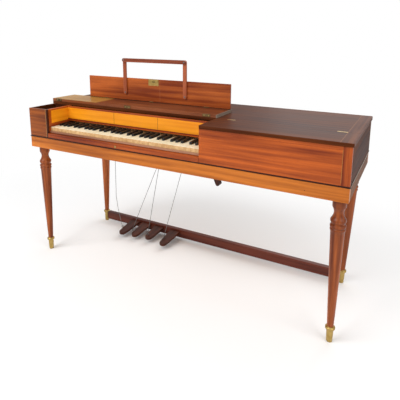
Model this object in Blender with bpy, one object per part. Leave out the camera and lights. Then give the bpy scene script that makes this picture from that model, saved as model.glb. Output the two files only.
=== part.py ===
# A five-octave square piano on a four-legged stand, about 1790 to 1810.
# Places are measured from the case's left end (x), its front (y) and the floor (z), in metres.
# The empty named piano moves them all so that the origin is the middle of the footprint.

import math

import bmesh
import bpy
from mathutils import Vector

# Overall sizes
LENGTH = 1.540
DEPTH = 0.540
STAND_HEIGHT = 0.632
CASE_HEIGHT = 0.144
GAP = 0.0003

# Boards of the case
WALL = 0.012
BOTTOM_THICK = 0.012
CASE_TOP = STAND_HEIGHT + CASE_HEIGHT
FLOOR_TOP = STAND_HEIGHT + BOTTOM_THICK

# Lid: the main lid, and two flaps hinged to its front edge
LID_THICK = 0.0137
LID_TOP = CASE_TOP + GAP + LID_THICK
LID_OVERHANG = 0.006
LID_SIDE_OVERHANG = 0.004
FLAP_HINGE_Y = 0.160
HINGE_Z = LID_TOP + GAP / 2
LID_EDGE_ROUND = 0.004
LID_CORNER_ROUND = 0.010

# Keywell and keyboard
KEYWELL_LEFT = 0.122
KEYWELL_WIDTH = 0.840
KEYWELL_RIGHT = KEYWELL_LEFT + KEYWELL_WIDTH
NATURALS = 36
FIRST_MOVING = 18
MOVING_NATURALS = 7
KEY_SIDE_GAP = 0.0006
PITCH = (KEYWELL_WIDTH - 2 * KEY_SIDE_GAP) / NATURALS
KEY_GAP = 0.0008
KEY_FRONT = 0.0215
KEY_REAR = 0.360
HEAD_DEPTH = 0.038
SHARP_SETBACK = 0.0015
SHARP_WIDTH = 0.0105
SHARP_RISE = 0.011
SHARP_SLOPE = 0.005
KEY_THICK = 0.020
NATURAL_TOP = STAND_HEIGHT + 0.055
LEVER_TOP = NATURAL_TOP - 0.0025
KEY_BOTTOM = NATURAL_TOP - KEY_THICK
BALANCE_Y = 0.190
# how far a sharp stands from the middle of the gap it covers, in key widths, by the natural on its left
SHARP_SHIFT = {"F": -0.12, "G": 0.0, "A": 0.12, "C": -0.10, "D": 0.10}
SCALE = "FGABCDE"

# Front of the keywell
LEDGE_DEPTH = 0.0195
LEDGE_TOP = STAND_HEIGHT + 0.026
SLIP_THICK = 0.0045
SLIP_TOP = STAND_HEIGHT + 0.037
NAMEBOARD_Y = 0.137
NAMEBOARD_BOTTOM = NATURAL_TOP + 0.0135
COMPARTMENT_FLOOR = STAND_HEIGHT + 0.058
PANEL_THICK = 0.006

# Fallboard, which stands on the folded flap and closes in front of the keys
FALLBOARD_FRONT = 0.004
FALLBOARD_THICK = 0.010
FALLBOARD_HEIGHT = 0.1155
FALLBOARD_SIDE_GAP = 0.002
LOCK_WIDTH = 0.060
LOCK_HEIGHT = 0.032
LOCK_THICK = 0.0015

# Music rack
ARM_SPACING = 0.355
ARM_CENTRE = KEYWELL_LEFT + KEYWELL_WIDTH / 2 + 0.0055
ARM_LENGTH = 0.166
ARM_WIDTH = 0.019
ARM_THICK = 0.007
RACK_PIVOT_RISE = 0.040
STUD_RADIUS = 0.003
STUD_CLEARANCE = 0.0004

# Inside the case
SOUNDBOARD_Z = CASE_TOP - 0.046
SOUNDBOARD_THICK = 0.0035
PLANK_WIDTH = 0.118
PLANK_BOTTOM = CASE_TOP - 0.086
STRING_Z = CASE_TOP - 0.032
STRING_THICK = 0.001
STRINGS = 61
PIN_RADIUS = 0.002
PIN_HEIGHT = 0.022
PIN_INSET = 0.058
HITCH_BASS_Y = 0.385
HITCH_BASS_X = 0.160
HITCH_TREBLE_X = KEYWELL_RIGHT - 0.062
RAIL_HALF = 0.012
RAIL_BACK_GAP = 0.0009946
RAIL_END_X = KEYWELL_RIGHT - GAP
RAIL_SLOPE = (DEPTH - WALL - RAIL_BACK_GAP - RAIL_HALF - HITCH_BASS_Y) / (RAIL_END_X - HITCH_BASS_X)
HITCH_TREBLE_Y = HITCH_BASS_Y + RAIL_SLOPE * (HITCH_TREBLE_X - HITCH_BASS_X)
INNER_RAIL_LOW = CASE_TOP - 0.076
LISTING_OFFSET = 0.008
LISTING_HALF = 0.004
LISTING_THICK = 0.003
PIN_SIDES = 5
PIN_FRONT_Y = 0.055
PIN_BACK_INSET = 0.035
# how far joined shapes reach into each other
SINK = 0.001
BRIDGE_FRONT_X = 1.150
BRIDGE_BACK_X = 1.020
BRIDGE_FRONT_Y = 0.120
BRIDGE_BACK_INSET = 0.005
BRIDGE_CURVE = 0.035
BRIDGE_HALF = 0.006
BRIDGE_STEPS = 6
HAMMER_OFFSET = 0.125
HAMMER_LENGTH = 0.095
HAMMER_THICK = 0.004
HAMMER_HEAD = 0.008
HAMMER_TOP = STRING_Z - 0.006
HAMMER_INSET = 0.012
HAMMER_RAIL_HALF = 0.008
HAMMER_RAIL_HEIGHT = 0.012

# Stand
APRON_HEIGHT = 0.054
APRON_THICK = 0.022
APRON_BOTTOM = STAND_HEIGHT - APRON_HEIGHT
STAND_TOP = STAND_HEIGHT - GAP
LEG_TOP = APRON_BOTTOM - GAP
LEG_SIDES = 16
FRONT_LEG_X = 0.036
FRONT_LEG_Y = 0.048
BACK_LEG_X = 0.052
BACK_LEG_Y = 0.042
BACK_RAKE_X = 0.012
BACK_RAKE_Y = 0.028
LEG_BLOCK = 0.050
TENON_RADIUS = 0.012
TENON_LENGTH = 0.030
NECK_DROP = 0.0407
BALL_DROP = 0.0717
SABOT_HEIGHT = 0.066
SPIGOT_RADIUS = 0.0085
SPIGOT_CLEARANCE = 0.0004

# Pedals, their rail and pull wires
RAIL_THICK = 0.025
RAIL_HEIGHT = 0.046
RAIL_BOTTOM = 0.015
SABOT_FLANGE = 0.0185
PEDAL_LENGTH = 0.146
PEDAL_THICK = 0.012
PEDAL_TIP_WIDTH = 0.042
PEDAL_REAR_WIDTH = 0.060
PEDAL_REAR_TOP = 0.052
PEDAL_DROP = 0.016
PEDAL_PIVOT = 0.009
PEDAL_REAR_GAP = 0.0006
PEDAL_X = (0.297, 0.376, 0.463, 0.571)
PEDAL_SET = (0.0, -0.010, -0.020, 0.0)
WIRE_RADIUS = 0.0013
WIRE_REACH = 0.085
WIRE_SET = (0.0, 0.0, 0.008, 0.0)
WIRE_ROUTES = (
    ((0.268, 0.0), (0.240, 0.160), (0.231, 0.224), (0.234, 1.0)),
    ((0.340, 0.0), (0.598, 1.0)),
    ((0.452, 0.0), (0.570, 1.0)),
    ((0.552, 0.0), (0.723, 1.0)),
)

# Knee lever
KNEE_X = 0.962
KNEE_Y = 0.100
KNEE_LENGTH = 0.108
KNEE_LEAN = math.radians(24)
KNEE_WIDTH = 0.028
KNEE_THICK = 0.016


def clear_scene():
    for obj in list(bpy.data.objects):
        bpy.data.objects.remove(obj, do_unlink=True)


def finish(name, colour, roughness, metallic=0.0):
    """A plain material of one colour."""
    made = bpy.data.materials.new(name)
    made.use_nodes = True
    shader = made.node_tree.nodes["Principled BSDF"]
    shader.inputs["Base Color"].default_value = (*colour, 1.0)
    shader.inputs["Roughness"].default_value = roughness
    shader.inputs["Metallic"].default_value = metallic
    return made


def block(low, high, round_by=0.0):
    """A box between two corners, its edges eased by round_by."""
    mesh = bmesh.new()
    made = bmesh.ops.create_cube(mesh, size=1.0)
    size = Vector(high) - Vector(low)
    bmesh.ops.scale(mesh, vec=size, verts=made["verts"])
    bmesh.ops.translate(mesh, vec=Vector(low) + size / 2, verts=made["verts"])
    if round_by:
        ease(mesh, mesh.edges[:], round_by, 1)
    return mesh


def ease(mesh, edges, width, segments):
    bmesh.ops.bevel(
        mesh, geom=edges, offset=width, segments=segments, profile=0.5, affect="EDGES", material=-1
    )


def prism(outline, start, end, axis):
    """An outline of (a, b) points pushed from start to end along axis 0, 1 or 2."""
    mesh = bmesh.new()
    others = [i for i in range(3) if i != axis]
    corners = []
    for a, b in outline:
        place = [0.0, 0.0, 0.0]
        place[axis] = start
        place[others[0]] = a
        place[others[1]] = b
        corners.append(mesh.verts.new(place))
    face = mesh.faces.new(corners)
    made = bmesh.ops.extrude_face_region(mesh, geom=[face])
    push = Vector((0.0, 0.0, 0.0))
    push[axis] = end - start
    moved = [item for item in made["geom"] if isinstance(item, bmesh.types.BMVert)]
    bmesh.ops.translate(mesh, vec=push, verts=moved)
    return mesh


def turned(profile, centre, sides):
    """A profile of (radius, height) points, from axis to axis, spun round a vertical line."""
    mesh = bmesh.new()
    places = [mesh.verts.new((radius, 0.0, height)) for radius, height in profile]
    edges = [mesh.edges.new(pair) for pair in zip(places, places[1:])]
    bmesh.ops.spin(
        mesh, geom=places + edges, cent=(0, 0, 0), axis=(0, 0, 1), angle=math.tau, steps=sides, use_merge=True
    )
    bmesh.ops.remove_doubles(mesh, verts=mesh.verts, dist=0.00001)
    bmesh.ops.translate(mesh, vec=(centre[0], centre[1], 0), verts=mesh.verts)
    return mesh


def merged(first, others):
    """Several closed shapes in one mesh, to be joined by a Boolean afterwards."""
    for other in others:
        spare = bpy.data.meshes.new("spare")
        other.to_mesh(spare)
        other.free()
        first.from_mesh(spare)
        bpy.data.meshes.remove(spare)
    return first


def add(name, mesh, material, pivot=(0.0, 0.0, 0.0), carrier=None, smooth=False):
    """Makes an object whose origin is its pivot and which is carried by another object."""
    bmesh.ops.translate(mesh, vec=-Vector(pivot), verts=mesh.verts)
    bmesh.ops.recalc_face_normals(mesh, faces=mesh.faces)
    data = bpy.data.meshes.new(name)
    mesh.to_mesh(data)
    mesh.free()
    data.materials.append(material)
    if smooth:
        data.shade_smooth()
        data.set_sharp_from_angle(angle=math.radians(35))
    obj = bpy.data.objects.new(name, data)
    bpy.context.scene.collection.objects.link(obj)
    place(obj, pivot, carrier)
    return obj


def place(obj, pivot, carrier):
    carrier = carrier or PIANO
    obj.parent = carrier
    obj.location = Vector(pivot) - Vector(carrier.get("pivot", (0.0, 0.0, 0.0)))
    obj["pivot"] = list(pivot)


def helper(name, mesh):
    """A shape that only cuts or joins others."""
    obj = add(name, mesh, WOOD)
    obj.hide_render = True
    obj.display_type = "WIRE"
    return obj


def combine(obj, other, operation):
    change = obj.modifiers.new(other.name, "BOOLEAN")
    change.operation = operation
    change.solver = "EXACT"
    change.object = other


def join_all(obj, shapes):
    """Joins a list of shapes to obj, in two sets so that neighbours are never in the same mesh."""
    for start in (0, 1):
        members = shapes[start::2]
        if members:
            other = helper(f"{obj.name}_set_{start}", merged(members[0], members[1:]))
            combine(obj, other, "UNION")


# Keyboard layout


def natural_name(index):
    return SCALE[index % len(SCALE)]


def natural_left(index):
    return KEYWELL_LEFT + KEY_SIDE_GAP + PITCH * index


def sharp_after(index):
    """The middle of the sharp between this natural and the next, or None."""
    shift = SHARP_SHIFT.get(natural_name(index))
    if shift is None or not 0 <= index < NATURALS - 1:
        return None
    return natural_left(index + 1) + shift * PITCH


def natural_key(index):
    """A natural: a wide head in front, and a tail that leaves room for the sharps beside it."""
    left = natural_left(index) + KEY_GAP / 2
    right = natural_left(index + 1) - KEY_GAP / 2
    before = sharp_after(index - 1)
    after = sharp_after(index)
    tail_left = left if before is None else before + SHARP_WIDTH / 2 + KEY_GAP
    tail_right = right if after is None else after - SHARP_WIDTH / 2 - KEY_GAP
    step = KEY_FRONT + HEAD_DEPTH
    outline = [(left, KEY_FRONT), (right, KEY_FRONT), (right, step)]
    if tail_right < right:
        outline.append((tail_right, step))
    outline += [(tail_right, KEY_REAR), (tail_left, KEY_REAR)]
    if tail_left > left:
        outline.append((tail_left, step))
    outline.append((left, step))
    if tail_left == left:
        outline.pop()
    if tail_right == right:
        outline.remove((right, step))
    return prism(outline, KEY_BOTTOM, NATURAL_TOP, 2)


def sharp_key(index):
    """A sharp: a lever with a raised block whose front slopes."""
    middle = sharp_after(index)
    front = KEY_FRONT + HEAD_DEPTH + SHARP_SETBACK
    block_rear = NAMEBOARD_Y - 0.0025
    top = NATURAL_TOP + SHARP_RISE
    outline = [
        (front, KEY_BOTTOM),
        (KEY_REAR, KEY_BOTTOM),
        (KEY_REAR, LEVER_TOP),
        (block_rear, LEVER_TOP),
        (block_rear, top),
        (front + SHARP_SLOPE, top),
        (front, NATURAL_TOP),
    ]
    return prism(outline, middle - SHARP_WIDTH / 2, middle + SHARP_WIDTH / 2, 0)


def key_pivot(x):
    return (x, BALANCE_Y, KEY_BOTTOM)


def build_moving_octave():
    """The middle octave, C to B, each key on its own balance point."""
    for index in range(FIRST_MOVING, FIRST_MOVING + MOVING_NATURALS):
        name = natural_name(index).lower()
        middle = natural_left(index) + PITCH / 2
        add(f"key_{name}", natural_key(index), IVORY, key_pivot(middle))
        if sharp_after(index) is not None:
            add(f"key_{name}_sharp", sharp_key(index), EBONY, key_pivot(sharp_after(index)))


def build_key_bank(name, first, last):
    """The other keys as one fixed bank, joined by the cloth strip on the balance rail."""
    strip = block(
        (natural_left(first) + KEY_GAP, BALANCE_Y - 0.005, KEY_BOTTOM + 0.001),
        (natural_left(last + 1) - KEY_GAP, BALANCE_Y + 0.005, KEY_BOTTOM + 0.004),
    )
    bank = add(name, strip, IVORY)
    keys = []
    for index in range(first, last + 1):
        keys.append(natural_key(index))
        if index < last and sharp_after(index) is not None:
            keys.append(sharp_key(index))
    join_all(bank, keys)


def build_key_frame():
    """The board under the keys, with its balance rail and back rail."""
    low, rail_top = FLOOR_TOP + GAP, KEY_BOTTOM - 0.0005
    plate_top = low + 0.010
    rails = [
        (LEDGE_DEPTH + 0.003, low),
        (KEY_REAR + 0.006, low),
        (KEY_REAR + 0.006, rail_top),
        (KEY_REAR - 0.012, rail_top),
        (KEY_REAR - 0.012, plate_top),
        (BALANCE_Y + 0.010, plate_top),
        (BALANCE_Y + 0.006, rail_top),
        (BALANCE_Y - 0.006, rail_top),
        (BALANCE_Y - 0.010, plate_top),
        (LEDGE_DEPTH + 0.003, plate_top),
    ]
    frame = prism(rails, KEYWELL_LEFT + GAP, KEYWELL_RIGHT - GAP, 0)
    add("key_frame", frame, PINE)


# Case


def build_case():
    inner_left, inner_right = WALL + GAP, LENGTH - WALL - GAP
    inner_back = DEPTH - WALL - GAP
    bottom = block((inner_left, LEDGE_DEPTH + GAP, STAND_HEIGHT), (inner_right, inner_back, FLOOR_TOP))
    add("bottom_board", bottom, PINE)
    low, top = STAND_HEIGHT, CASE_TOP
    add("back_board", block((0, DEPTH - WALL, low), (LENGTH, DEPTH, top), 0.001), WOOD)
    add("left_end", block((0, inner_left, low), (WALL, inner_back, top), 0.001), WOOD)
    add("right_end", block((LENGTH - WALL, inner_left, low), (LENGTH, inner_back, top), 0.001), WOOD)
    left_panel = block((0, 0, low), (KEYWELL_LEFT - GAP, WALL, top), 0.001)
    add("front_panel_left", left_panel, WOOD)
    right_panel = block((KEYWELL_RIGHT + GAP, 0, low), (LENGTH, WALL, top), 0.001)
    add("front_panel_right", right_panel, WOOD)


def build_tool_compartment():
    """The left cheek of the keywell, with the floor and back wall of the compartment beside it."""
    rear = FLAP_HINGE_Y
    cheek = block((KEYWELL_LEFT - WALL, WALL + GAP, FLOOR_TOP + GAP), (KEYWELL_LEFT, rear, CASE_TOP - GAP))
    box = add("left_cheek", cheek, SATINWOOD)
    floor = block(
        (WALL + GAP, WALL + GAP, COMPARTMENT_FLOOR - PANEL_THICK),
        (KEYWELL_LEFT - WALL / 2, rear - PANEL_THICK / 2, COMPARTMENT_FLOOR),
    )
    wall = block(
        (WALL + GAP, rear - PANEL_THICK, COMPARTMENT_FLOOR - PANEL_THICK),
        (KEYWELL_LEFT - WALL / 2, rear - GAP, CASE_TOP - GAP),
    )
    combine(box, helper("compartment_floor_shape", floor), "UNION")
    combine(box, helper("compartment_wall_shape", wall), "UNION")


def build_keywell():
    ledge = [
        (0.0, STAND_HEIGHT),
        (LEDGE_DEPTH, STAND_HEIGHT),
        (LEDGE_DEPTH, SLIP_TOP),
        (LEDGE_DEPTH - SLIP_THICK, SLIP_TOP),
        (LEDGE_DEPTH - SLIP_THICK, LEDGE_TOP),
        (0.0, LEDGE_TOP),
    ]
    add("lock_rail", prism(ledge, KEYWELL_LEFT + GAP, KEYWELL_RIGHT - GAP, 0), WOOD)
    nameboard = block(
        (KEYWELL_LEFT + GAP, NAMEBOARD_Y, NAMEBOARD_BOTTOM),
        (KEYWELL_RIGHT - GAP, NAMEBOARD_Y + WALL, CASE_TOP - GAP),
        0.0005,
    )
    add("nameboard", nameboard, SATINWOOD)
    step = FLAP_HINGE_Y
    belly = [
        (WALL + GAP, FLOOR_TOP + GAP),
        (DEPTH - WALL - GAP, FLOOR_TOP + GAP),
        (DEPTH - WALL - GAP, SOUNDBOARD_Z - GAP),
        (step, SOUNDBOARD_Z - GAP),
        (step, CASE_TOP - GAP),
        (WALL + GAP, CASE_TOP - GAP),
    ]
    add("belly_rail", prism(belly, KEYWELL_RIGHT, KEYWELL_RIGHT + WALL, 0), WOOD)


# Strung part


def hitch_y(x):
    """The line of hitch pins, from the bass in front on the left to the treble at the back."""
    share = (x - HITCH_BASS_X) / (HITCH_TREBLE_X - HITCH_BASS_X)
    return HITCH_BASS_Y + share * (HITCH_TREBLE_Y - HITCH_BASS_Y)


def slanted_bar(offset, half, low, high, left, right):
    """A bar in line with the hitch pins, offset from them towards the back."""
    outline = [
        (left, hitch_y(left) + offset - half),
        (right, hitch_y(right) + offset - half),
        (right, hitch_y(right) + offset + half),
        (left, hitch_y(left) + offset + half),
    ]
    return prism(outline, low, high, 2)


def string_ends(number):
    """Where string number leaves the hitch rail, and where its tuning pin stands."""
    share = number / (STRINGS - 1)
    hitch_x = HITCH_BASS_X + share * (HITCH_TREBLE_X - HITCH_BASS_X)
    pin_y = PIN_FRONT_Y + share * (DEPTH - PIN_BACK_INSET - PIN_FRONT_Y)
    return Vector((hitch_x, hitch_y(hitch_x), STRING_Z)), Vector((LENGTH - PIN_INSET, pin_y, STRING_Z))


def string_rod(number):
    start, pin = string_ends(number)
    along = (pin - start).normalized()
    end = pin - along * (PIN_RADIUS + 0.0005)
    side = Vector((-along.y, along.x, 0.0)) * STRING_THICK / 2
    outline = [tuple((start - side).xy), tuple((end - side).xy), tuple((end + side).xy), tuple((start + side).xy)]
    return prism(outline, STRING_Z, STRING_Z + STRING_THICK, 2)


def build_strung_part():
    inner_left, inner_right = WALL + GAP, LENGTH - WALL - GAP
    front, back = WALL + GAP, DEPTH - WALL - GAP
    top = SOUNDBOARD_Z + SOUNDBOARD_THICK
    plank_left = inner_right - PLANK_WIDTH
    board = add(
        "soundboard",
        block((KEYWELL_RIGHT + WALL + GAP, front, SOUNDBOARD_Z), (plank_left - GAP, back, top)),
        SPRUCE,
    )
    bridge = prism(bridge_outline(back), top - SINK, STRING_Z - GAP, 2)
    combine(board, helper("bridge_shape", bridge), "UNION")

    plank = add("wrest_plank", block((plank_left, front, PLANK_BOTTOM), (inner_right, back, top)), OAK)
    pins = []
    for number in range(STRINGS):
        pin = string_ends(number)[1]
        low, high = top - SINK, top + PIN_HEIGHT
        pins.append(turned([(0, low), (PIN_RADIUS, low), (PIN_RADIUS, high), (0, high)], pin.xy, PIN_SIDES))
    join_all(plank, pins)

    rail = slanted_bar(0, RAIL_HALF, INNER_RAIL_LOW, STRING_Z - GAP, inner_left, KEYWELL_RIGHT - GAP)
    add("hitch_rail", rail, OAK)
    low, high = STRING_Z + GAP, STRING_Z + LISTING_THICK
    listing = slanted_bar(-LISTING_OFFSET, LISTING_HALF, low, high, HITCH_BASS_X, KEYWELL_RIGHT - LISTING_HALF)
    strings = add("strings", listing, STEEL)
    join_all(strings, [string_rod(number) for number in range(STRINGS)])


def bridge_outline(back):
    """The curved bridge on the soundboard, seen from above."""
    outline = []
    for side in (-1, 1):
        for step in range(BRIDGE_STEPS + 1)[:: -side]:
            share = step / BRIDGE_STEPS
            x = BRIDGE_FRONT_X + share * (BRIDGE_BACK_X - BRIDGE_FRONT_X)
            x -= BRIDGE_CURVE * math.sin(math.pi * share)
            y = BRIDGE_FRONT_Y + share * (back - BRIDGE_BACK_INSET - BRIDGE_FRONT_Y)
            outline.append((x + side * BRIDGE_HALF, y))
    return outline


def build_hammers():
    """A rail behind the hitch pins' line, with a hammer under each string."""
    low, high = INNER_RAIL_LOW, INNER_RAIL_LOW + HAMMER_RAIL_HEIGHT
    shape = slanted_bar(-HAMMER_OFFSET, HAMMER_RAIL_HALF, low, high, WALL + GAP, KEYWELL_RIGHT - GAP)
    rail = add("hammer_rail", shape, OAK)
    shank_low = low + HAMMER_THICK
    shank_high = shank_low + HAMMER_THICK
    hammers = []
    for number in range(STRINGS):
        share = number / (STRINGS - 1)
        x = KEYWELL_LEFT + HAMMER_INSET + share * (KEYWELL_WIDTH - 2 * HAMMER_INSET)
        root = hitch_y(x) - HAMMER_OFFSET
        tip = root + HAMMER_LENGTH
        outline = [
            (root, shank_low),
            (tip, shank_low),
            (tip, HAMMER_TOP),
            (tip - HAMMER_HEAD, HAMMER_TOP),
            (tip - HAMMER_HEAD, shank_high),
            (root, shank_high),
        ]
        hammers.append(prism(outline, x - HAMMER_THICK / 2, x + HAMMER_THICK / 2, 0))
    join_all(rail, hammers)


# Lid and music rack


def round_edges(mesh, wanted, width, segments):
    """Rounds the edges whose two ends both pass the test."""
    edges = [edge for edge in mesh.edges if all(wanted(vert.co) for vert in edge.verts)]
    ease(mesh, edges, width, segments)


def build_lid():
    low, high = LID_TOP - LID_THICK, LID_TOP
    left, right = -LID_SIDE_OVERHANG, LENGTH + LID_SIDE_OVERHANG
    back = DEPTH + LID_OVERHANG
    hinge = FLAP_HINGE_Y

    shape = block((left, hinge + GAP, low), (right, back, high))
    corners = [e for e in shape.edges if all(v.co.y > hinge + 0.1 for v in e.verts)]
    corners = [e for e in corners if abs(e.verts[0].co.z - e.verts[1].co.z) > LID_THICK / 2]
    ease(shape, corners, LID_CORNER_ROUND, 3)
    lid = add("main_lid", shape, WOOD, (LENGTH / 2, back, low))

    seam = KEYWELL_RIGHT + 0.0015
    shape = block((seam + GAP, -LID_OVERHANG, low), (right, hinge - GAP, high))
    round_edges(shape, lambda co: co.y < 0, LID_EDGE_ROUND, 3)
    add("right_flap", shape, WOOD, (LENGTH * 0.8, hinge, HINGE_Z), lid)

    # The folded flap is the closed one turned over its hinge.
    folded_low = 2 * HINGE_Z - high
    folded_high = folded_low + LID_THICK
    flap_rear = 2 * hinge
    shape = block((left, hinge + GAP, folded_low), (seam - GAP, flap_rear, folded_high))
    round_edges(shape, lambda co: co.y > hinge + 0.1, LID_EDGE_ROUND, 2)
    flap = add("keyboard_flap", shape, WOOD, (LENGTH * 0.35, hinge, HINGE_Z), lid)
    build_fallboard(flap, folded_high + GAP)


def build_fallboard(flap, base):
    rear = 2 * FLAP_HINGE_Y - FALLBOARD_FRONT
    front = rear - FALLBOARD_THICK
    left = KEYWELL_LEFT + FALLBOARD_SIDE_GAP
    right = KEYWELL_RIGHT - FALLBOARD_SIDE_GAP
    top = base + FALLBOARD_HEIGHT
    shape = block((left, front, base), (right, rear, top), 0.0008)
    board = add("fallboard", shape, WOOD, (LENGTH * 0.35, rear, base), flap)

    middle = KEYWELL_LEFT + KEYWELL_WIDTH / 2
    plate = block(
        (middle - LOCK_WIDTH / 2, front, top - LOCK_HEIGHT),
        (middle + LOCK_WIDTH / 2, front + LOCK_THICK, top),
    )
    add("lock_plate", plate, BRASS, (middle, front, top), board)
    recess = block(
        (middle - LOCK_WIDTH / 2 - GAP, front - SINK, top - LOCK_HEIGHT - GAP),
        (middle + LOCK_WIDTH / 2 + GAP, front + LOCK_THICK + GAP, top + SINK),
    )
    combine(board, helper("lock_recess", recess), "DIFFERENCE")

    foot = base + RACK_PIVOT_RISE
    head = foot + ARM_LENGTH
    arm_rear = front - GAP
    arm_front = arm_rear - ARM_THICK
    arms = []
    for side, name in ((-1, "rack_arm_left"), (1, "rack_arm_right")):
        x = ARM_CENTRE + side * ARM_SPACING / 2
        shape = strap(x, foot, head, ARM_WIDTH, arm_front, arm_rear)
        arm = add(name, shape, WOOD, (x, arm_rear, foot), board)
        arms.append(arm)
        for height, end in ((foot, "foot"), (head, "head")):
            hole = rod_along_y(x, height, STUD_RADIUS + STUD_CLEARANCE, arm_front - 0.002, arm_rear + 0.002)
            cutter = helper(f"{name}_{end}_hole", hole)
            combine(arm, cutter, "DIFFERENCE")
        stud = rod_along_y(x, foot, STUD_RADIUS, arm_front + 0.0005, front + 0.002)
        combine(board, helper(f"{name}_stud", stud), "UNION")

    left_x = ARM_CENTRE - ARM_SPACING / 2
    bar_rear = arm_front - GAP
    bar_front = bar_rear - ARM_THICK
    shape = strap_across(left_x, left_x + ARM_SPACING, head, ARM_WIDTH, bar_front, bar_rear)
    bar = add("rack_bar", shape, WOOD, (left_x, bar_rear, head), arms[0])
    for x in (left_x, left_x + ARM_SPACING):
        stud = rod_along_y(x, head, STUD_RADIUS, bar_rear - 0.002, arm_rear - 0.0005)
        combine(bar, helper(f"bar_stud_{round(x * 1000)}", stud), "UNION")


def rounded_outline(length, width, steps=5):
    """The outline of a strap of this length between its pivots, standing on the lower pivot."""
    radius = width / 2
    points = []
    for centre, start in ((0.0, math.pi), (length, 0.0)):
        for step in range(steps + 1):
            angle = start + math.pi * step / steps
            points.append((radius * math.cos(angle), centre + radius * math.sin(angle)))
    return points


def strap(x, foot, head, width, front, rear):
    outline = [(x + a, foot + b) for a, b in rounded_outline(head - foot, width)]
    return prism(outline, front, rear, 1)


def strap_across(left, right, height, width, front, rear):
    outline = [(left + b, height - a) for a, b in rounded_outline(right - left, width)]
    return prism(outline, front, rear, 1)


def rod_along_y(x, z, radius, front, rear, sides=12):
    outline = []
    for step in range(sides):
        angle = math.tau * step / sides
        outline.append((x + radius * math.cos(angle), z + radius * math.sin(angle)))
    return prism(outline, front, rear, 1)


# Stand


def build_aprons():
    low, high = APRON_BOTTOM, STAND_TOP
    inner = APRON_THICK + GAP
    add("stand_front_rail", block((0, 0, low), (LENGTH, APRON_THICK, high), 0.001), LIGHT_WOOD)
    add("stand_back_rail", block((0, DEPTH - APRON_THICK, low), (LENGTH, DEPTH, high), 0.001), LIGHT_WOOD)
    add("stand_left_rail", block((0, inner, low), (APRON_THICK, DEPTH - inner, high), 0.001), LIGHT_WOOD)
    right = LENGTH - APRON_THICK
    add("stand_right_rail", block((right, inner, low), (LENGTH, DEPTH - inner, high), 0.001), LIGHT_WOOD)


def leg_profile():
    """Capital disc, concave neck, ball, two rings, long taper and a spigot in the sabot."""
    neck = [(0.0205 - 0.003 * math.sin(math.pi * t / 6), LEG_TOP - NECK_DROP - 0.0045 * t) for t in range(7)]
    ball = [(0.0215 + 0.0070 * math.sin(math.pi * t / 6), LEG_TOP - BALL_DROP - 0.0045 * t) for t in range(1, 6)]
    discs = [(0.0235, 0.0), (0.0245, 0.0117), (0.0245, 0.0327), (0.0220, 0.0377)]
    rings = [
        (0.0262, 0.0997),
        (0.0282, 0.1037),
        (0.0282, 0.1087),
        (0.0262, 0.1117),
        (0.0278, 0.1157),
        (0.0278, 0.1207),
        (0.0258, 0.1247),
        (0.0250, 0.1377),
    ]
    return [
        (0.0, LEG_TOP + TENON_LENGTH),
        (TENON_RADIUS, LEG_TOP + TENON_LENGTH),
        (TENON_RADIUS, LEG_TOP),
        *[(radius, LEG_TOP - drop) for radius, drop in discs],
        *neck,
        *ball,
        *[(radius, LEG_TOP - drop) for radius, drop in rings],
        (0.0122, SABOT_HEIGHT + GAP),
        (SPIGOT_RADIUS, SABOT_HEIGHT + GAP),
        (SPIGOT_RADIUS, 0.010),
        (0.0, 0.010),
    ]


def sabot_profile():
    """A brass cup with a flange round its mouth."""
    bore = SPIGOT_RADIUS + SPIGOT_CLEARANCE
    return [
        (0.0, 0.009),
        (bore, 0.009),
        (bore, SABOT_HEIGHT),
        (0.0135, SABOT_HEIGHT),
        (SABOT_FLANGE, SABOT_HEIGHT - 0.003),
        (SABOT_FLANGE, SABOT_HEIGHT - 0.009),
        (0.0128, SABOT_HEIGHT - 0.013),
        (0.0112, 0.002),
        (0.0100, 0.0),
        (0.0, 0.0),
    ]


def rake(mesh, shift_x, shift_y):
    """Leans a leg so that its foot moves by this much and its top stays."""
    for vert in mesh.verts:
        share = max(0.0, (LEG_TOP - vert.co.z) / LEG_TOP)
        vert.co.x += shift_x * share
        vert.co.y += shift_y * share


def leg_places():
    """Each leg's name, the middle of its top, and how far its foot leans."""
    return (
        ("front_left", FRONT_LEG_X, FRONT_LEG_Y, 0.0, 0.0),
        ("front_right", LENGTH - FRONT_LEG_X, FRONT_LEG_Y, 0.0, 0.0),
        ("back_left", BACK_LEG_X, DEPTH - BACK_LEG_Y, BACK_RAKE_X, -BACK_RAKE_Y),
        ("back_right", LENGTH - BACK_LEG_X, DEPTH - BACK_LEG_Y, -BACK_RAKE_X, -BACK_RAKE_Y),
    )


def build_legs():
    inner = APRON_THICK + GAP
    for name, x, y, lean_x, lean_y in leg_places():
        shape = turned(leg_profile(), (x, y), LEG_SIDES)
        rake(shape, lean_x, lean_y)
        leg = add(f"leg_{name}", shape, WOOD, (x, y, LEG_TOP), smooth=True)
        left, near = x < LENGTH / 2, y < DEPTH / 2
        block_x = inner if left else LENGTH - inner - LEG_BLOCK
        block_y = inner if near else DEPTH - inner - LEG_BLOCK
        corner = block((block_x, block_y, APRON_BOTTOM), (block_x + LEG_BLOCK, block_y + LEG_BLOCK, STAND_TOP))
        combine(leg, helper(f"{name}_block_shape", corner), "UNION")
        shape = turned(sabot_profile(), (x, y), LEG_SIDES)
        rake(shape, lean_x, lean_y)
        add(f"sabot_{name}", shape, BRASS, (x + lean_x, y + lean_y, 0), smooth=True)


# Pedals


def foot_share(height):
    return (LEG_TOP - height) / LEG_TOP


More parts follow.
